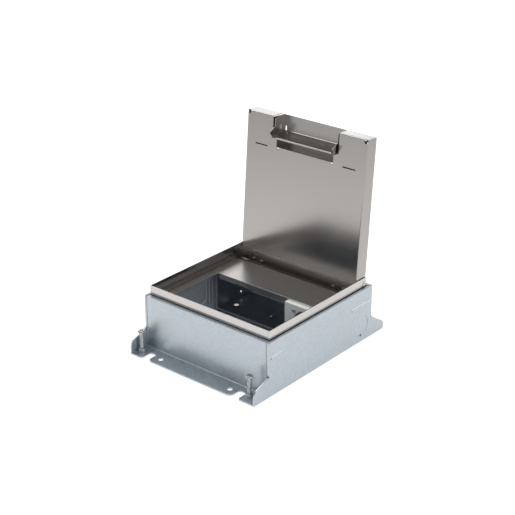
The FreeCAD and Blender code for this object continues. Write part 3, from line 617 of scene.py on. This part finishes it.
def rivet_tree():
    """Domed heads with shanks on the points of a mesh, each along its point's way."""
    g = Grower("Rivets on points", (
        ("Head Radius", 2 * MM), ("Head Height", 0.4 * MM), ("Edge Share", 0.35),
        ("Shank Radius", 1.3 * MM), ("Shank Length", MM)))
    radius = g.take("Head Radius")
    height = g.take("Head Height")
    disc = g.node("GeometryNodeMeshCylinder", {
        "Vertices": 28, "Side Segments": 1, "Fill Segments": 5, "Radius": radius,
        "Depth": height}, fill_type="TRIANGLE_FAN")
    stood = g.moved(disc.outputs["Mesh"], g.vector(z=g.maths("MULTIPLY", height, 0.5)))
    place = g.node("GeometryNodeInputPosition").outputs["Position"]
    split = g.node("ShaderNodeSeparateXYZ", {"Vector": place}).outputs
    flat = g.vector(split["X"], split["Y"])
    out = g.node("ShaderNodeVectorMath", {0: flat}, operation="LENGTH").outputs["Value"]
    share = g.maths("DIVIDE", out, radius)
    under = g.maths("SUBTRACT", 1.0, g.maths("MULTIPLY", share, share))
    arc = g.maths("SQRT", g.maths("MAXIMUM", under, 0.0))
    edge = g.take("Edge Share")
    level = g.maths("ADD", edge, g.maths("MULTIPLY", arc, g.maths("SUBTRACT", 1.0, edge)))
    domed = g.node("GeometryNodeSetPosition", {
        "Geometry": stood,
        "Position": g.vector(split["X"], split["Y"], g.maths("MULTIPLY", split["Z"], level))})
    length = g.take("Shank Length")
    shank = g.node("GeometryNodeMeshCylinder", {
        "Vertices": 16, "Radius": g.take("Shank Radius"), "Depth": length})
    below = g.moved(shank.outputs["Mesh"], g.vector(z=g.maths("MULTIPLY", length, -0.5)))
    way = g.node("GeometryNodeInputNamedAttribute", {"Name": "way"}, data_type="FLOAT_VECTOR")
    turn = g.node(
        "FunctionNodeAlignRotationToVector", {"Vector": way.outputs["Attribute"]}, axis="Z")
    set_out = g.node("GeometryNodeInstanceOnPoints", {
        "Points": g.take("Geometry"), "Instance": g.joined(domed.outputs["Geometry"], below),
        "Rotation": turn.outputs["Rotation"]})
    return g.end(set_out.outputs["Instances"])


def grow(name, points, tree, values, look):
    """Runs a tree on a mesh of points and keeps the result as a plain mesh."""
    mesh = bpy.data.meshes.new(name)
    mesh.from_pydata([place for place, way in points], [], [])
    ways = mesh.attributes.new("way", "FLOAT_VECTOR", "POINT")
    for item, (place, way) in zip(ways.data, points):
        item.vector = way
    piece = new_object(name, mesh)
    modifier = piece.modifiers.new(tree.name, "NODES")
    modifier.node_group = tree
    for socket in tree.interface.items_tree:
        if socket.in_out == "INPUT" and socket.name in values:
            modifier[socket.identifier] = values[socket.name]
        elif socket.in_out == "INPUT" and socket.name == "Material":
            modifier[socket.identifier] = finish(look)
    return bake(piece)


def islands(node):
    """Lowest and highest corner of each loose solid of a node."""
    bm = merged_copy(node)
    boxes = []
    seen = set()
    for start in bm.verts:
        if start in seen:
            continue
        seen.add(start)
        stack = [start]
        points = []
        while stack:
            vert = stack.pop()
            points.append(vert.co.copy())
            for edge in vert.link_edges:
                other = edge.other_vert(vert)
                if other not in seen:
                    seen.add(other)
                    stack.append(other)
        boxes.append(tuple(
            Vector([limit(p[i] for p in points) for i in range(3)]) for limit in (min, max)))
    bm.free()
    return boxes


def one_piece(name, pieces, look):
    """Several meshes with one finish as one piece."""
    bm = bmesh.new()
    for piece in pieces:
        bm.from_mesh(piece.data)
        bpy.data.objects.remove(piece)
    for face in bm.faces:
        face.material_index = 0
    mesh = bpy.data.meshes.new(name)
    bm.to_mesh(mesh)
    bm.free()
    mesh.materials.append(finish(look))
    return even_normals(new_object(name, mesh))


def screw_with_thread(node, tree):
    """Levelling screw: the node's head on a shank with a real thread."""
    low, high = (Vector(corner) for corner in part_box(node))
    screw = settings().screw
    under = high.z - screw.head_height
    head = rounded(node, settings().sheet.fine_round)
    bm = bmesh.new()
    bm.from_mesh(head.data)
    cut = bmesh.ops.bisect_plane(
        bm, geom=bm.verts[:] + bm.edges[:] + bm.faces[:], dist=SLIVER,
        plane_co=(0, 0, under), plane_no=(0, 0, 1), clear_inner=True)
    rim = [part for part in cut["geom_cut"] if isinstance(part, bmesh.types.BMEdge)]
    bmesh.ops.holes_fill(bm, edges=rim, sides=0)
    bm.to_mesh(head.data)
    bm.free()
    shank = grow(node + "_shank", [((0, 0, 0), (0, 0, 1))], tree, {
        "Radius": screw.thread_radius, "Pitch": screw.pitch, "Length": under - low.z}, "screw")
    middle = (low + high) / 2
    shank.data.transform(Matrix.Translation((middle.x, middle.y, low.z)))
    hand_over(one_piece(node + "_threaded", [head, shank], "screw"), node)


# ------------------------------------------------------------------ pieces


class FLOORBOX_OT_housing(bpy.types.Operator):
    """Folded galvanised sheets of the housing and the carrier inside it"""

    bl_idname = "floorbox.housing"
    bl_label = "Housing sheets"

    def execute(self, context):
        sheet = settings().sheet
        for node in SIDE_WALLS:
            paint_bar_highlights(
                dress(node, sheet.edge_round, "zinc", in_wall_pressing))
        for node in GALVANISED:
            dress(node, sheet.edge_round, "zinc")
        carrier = dress("device_carrier", sheet.fine_round, "inner zinc")
        carrier.data.materials.append(finish("zinc"))
        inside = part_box("device_carrier")[1][0] - CARRIER_WING
        for face in carrier.data.polygons:
            if abs(face.center.x) < inside:
                face.material_index = 2
        return {"FINISHED"}


class FLOORBOX_OT_frame(bpy.types.Operator):
    """Stainless frame, cover plate, seal plate, hinge pins and clips"""

    bl_idname = "floorbox.frame"
    bl_label = "Frame and plates"

    def execute(self, context):
        for node, look in STAINLESS:
            dress(node, settings().sheet.fine_round, look)
        return {"FINISHED"}


class FLOORBOX_OT_rivets(bpy.types.Operator):
    """Rivets of the seal plate, the ledge and the rim"""

    bl_idname = "floorbox.rivets"
    bl_label = "Rivets"

    def execute(self, context):
        tree = rivet_tree()
        for node, head, shank in RIVETS:
            points = []
            for low, high in islands(node):
                middle = (low + high) / 2
                if node == "plate_rivets":
                    points.append(((middle.x, middle.y, high.z - head), (0, 0, 1)))
                    radius = (high.x - low.x) / 2
                    length = high.z - low.z - head
                else:
                    side = math.copysign(1, middle.x)
                    outer = high.x if side > 0 else low.x
                    points.append(((outer - side * head, middle.y, middle.z), (side, 0, 0)))
                    radius = (high.z - low.z) / 2
                    length = high.x - low.x - head
            piece = grow(node + "_domed", points, tree, {
                "Head Radius": radius, "Head Height": head,
                "Edge Share": settings().screw.rivet_edge,
                "Shank Radius": shank, "Shank Length": length * SHANK_SHARE}, "frame")
            hand_over(even_normals(piece), node)
        return {"FINISHED"}


class FLOORBOX_OT_lid(bpy.types.Operator):
    """Lid tray with its liner and the cord outlet's pocket, flap and pins"""

    bl_idname = "floorbox.lid"
    bl_label = "Lid and outlet"

    def execute(self, context):
        fine = settings().sheet.fine_round
        dress("lid_tray", fine, "lid")
        # The liner is near-black: painted shade inside the lid.
        dress("lid_liner", fine, "liner")
        for node in ("outlet_pocket", "outlet_flap", "flap_pin_left", "flap_pin_right"):
            dress(node, fine, "outlet")
        return {"FINISHED"}


class FLOORBOX_OT_screws(bpy.types.Operator):
    """Levelling screws with their threads, and the bracket's screws"""

    bl_idname = "floorbox.screws"
    bl_label = "Levelling screws"

    def execute(self, context):
        tree = thread_tree()
        for node in LEVELLING_SCREWS:
            screw_with_thread(node, tree)
        dress("bracket_screws", settings().sheet.fine_round, "screw")
        return {"FINISHED"}


class FLOORBOX_OT_inside(bpy.types.Operator):
    """Coated device bracket and the rubber seal"""

    bl_idname = "floorbox.inside"
    bl_label = "Bracket and seal"

    def execute(self, context):
        dress("device_bracket", settings().sheet.fine_round, "enamel")
        dress("rear_seal", settings().sheet.fine_round, "rubber")
        return {"FINISHED"}


# ------------------------------------------------------------------ stage


def look_at(place, target):
    """Placement of a lamp or camera that faces a target."""
    way = Vector(target) - Vector(place)
    return Matrix.Translation(Vector(place)) @ way.to_track_quat("-Z", "Y").to_matrix().to_4x4()


def lamp(name, place, size, power):
    """Rectangular lamp that faces the object."""
    data = bpy.data.lights.new(name, "AREA")
    data.shape = "RECTANGLE"
    data.size, data.size_y = size
    data.energy = power
    new_object(name, data).matrix_world = look_at(place, LAMP_TARGET)


def seen_directly(tree):
    """1 for what the camera, a reflection or glass sees, else 0."""
    path = tree.node("ShaderNodeLightPath").outputs
    seen = tree.maths("MAXIMUM", path["Is Camera Ray"], path["Is Glossy Ray"])
    return tree.maths("MAXIMUM", seen, path["Is Transmission Ray"])


def white_world(ambient, ceiling):
    """White all round for the camera, with a dimmer ceiling for what the steel reflects."""
    world = bpy.data.worlds.new("studio")
    bpy.context.scene.world = world
    world.use_nodes = True
    tree = Tree(world.node_tree)
    background = world.node_tree.nodes["Background"].inputs
    background["Color"].default_value = WHITE
    coords = tree.node("ShaderNodeTexCoord")
    split = tree.node("ShaderNodeSeparateXYZ", {"Vector": coords.outputs["Generated"]})
    reflected = tree.between(
        split.outputs["Z"], HORIZON_LEVEL, ceiling, *HORIZON_RUN, kind="SMOOTHSTEP")
    level = tree.node("ShaderNodeMix", {
        "Factor": seen_directly(tree), "A": ambient, "B": reflected}).outputs["Result"]
    camera = tree.node("ShaderNodeLightPath").outputs["Is Camera Ray"]
    tree.feed(tree.maths("MAXIMUM", level, camera), background["Strength"])


def pale_floor():
    """White floor that keeps the object's shadow and fades in what the steel reflects."""
    material = bpy.data.materials.new("white floor")
    material.use_nodes = True
    nodes = material.node_tree.nodes
    nodes.remove(nodes["Principled BSDF"])
    tree = Tree(material.node_tree)
    diffuse = tree.node("ShaderNodeBsdfDiffuse", {"Color": FLOOR_GREY})
    coords = tree.node("ShaderNodeTexCoord")
    away = tree.node("ShaderNodeVectorMath", {0: coords.outputs["Object"]}, operation="LENGTH")
    fade = tree.between(
        away.outputs["Value"], *FLOOR_LEVELS, *FLOOR_RUN, kind="SMOOTHSTEP")
    camera = tree.node("ShaderNodeLightPath").outputs["Is Camera Ray"]
    plain = tree.maths("MULTIPLY", camera, FLOOR_GLOW)
    shown = tree.maths("MULTIPLY", seen_directly(tree), fade)
    glow = tree.node("ShaderNodeEmission", {
        "Color": WHITE, "Strength": tree.maths("MAXIMUM", plain, shown)})
    both = tree.node("ShaderNodeAddShader", {
        0: diffuse.outputs["BSDF"], 1: glow.outputs["Emission"]})
    tree.feed(both.outputs["Shader"], nodes["Material Output"].inputs["Surface"])
    return material


class FLOORBOX_OT_stage(bpy.types.Operator):
    """Floor, surroundings, lamps and camera"""

    bl_idname = "floorbox.stage"
    bl_label = "Studio"

    def execute(self, context):
        stage = settings().stage
        scene = context.scene
        scene.view_settings.view_transform = "Standard"
        white_world(stage.ambient, stage.ceiling)
        mesh = bpy.data.meshes.new("floor")
        mesh.from_pydata([
            (x * FLOOR_HALF, y * FLOOR_HALF, -FLOOR_DROP)
            for x, y in ((-1, -1), (1, -1), (1, 1), (-1, 1))], [], [(0, 1, 2, 3)])
        floor = new_object("floor", mesh)
        mesh.materials.append(pale_floor())
        for name, place, size in LAMPS:
            lamp(name + " lamp", place, size, getattr(stage, name))
        data = bpy.data.cameras.new("camera")
        data.sensor_width = CAMERA_SENSOR
        data.lens = stage.lens
        data.clip_start = CAMERA_NEAR
        camera = new_object("camera", data)
        camera.matrix_world = look_at(CAMERA_PLACE, CAMERA_TARGET)
        scene.camera = camera
        return {"FINISHED"}


# ------------------------------------------------------------------ panel


class FLOORBOX_PT_panel(bpy.types.Panel):
    """Sidebar panel of the floor socket box"""

    bl_label = "Floor socket box"
    bl_space_type = "VIEW_3D"
    bl_region_type = "UI"
    bl_category = "Floor box"

    def draw(self, context):
        layout = self.layout
        box = settings()
        for group in (box.sheet, box.screw, box.finish, box.stage):
            column = layout.column()
            for key in group.__annotations__:
                column.prop(group, key)
        for operator in OPERATORS:
            layout.operator(operator.bl_idname)


OPERATORS = (
    FLOORBOX_OT_stage, FLOORBOX_OT_housing, FLOORBOX_OT_frame, FLOORBOX_OT_rivets,
    FLOORBOX_OT_inside, FLOORBOX_OT_screws, FLOORBOX_OT_lid,
)
CLASSES = (
    SheetSettings, ScrewSettings, FinishSettings, StageSettings, FloorBoxSettings,
    *OPERATORS, FLOORBOX_PT_panel,
)


def register():
    for cls in CLASSES:
        bpy.utils.register_class(cls)
    bpy.types.Scene.floor_box = PointerProperty(type=FloorBoxSettings)


def unregister():
    del bpy.types.Scene.floor_box
    for cls in reversed(CLASSES):
        bpy.utils.unregister_class(cls)


def main():
    register()
    bpy.ops.floorbox.stage()
    bpy.ops.floorbox.housing()
    bpy.ops.floorbox.frame()
    bpy.ops.floorbox.rivets()
    bpy.ops.floorbox.inside()
    bpy.ops.floorbox.screws()
    bpy.ops.floorbox.lid()


if __name__ == "__main__":
    main()
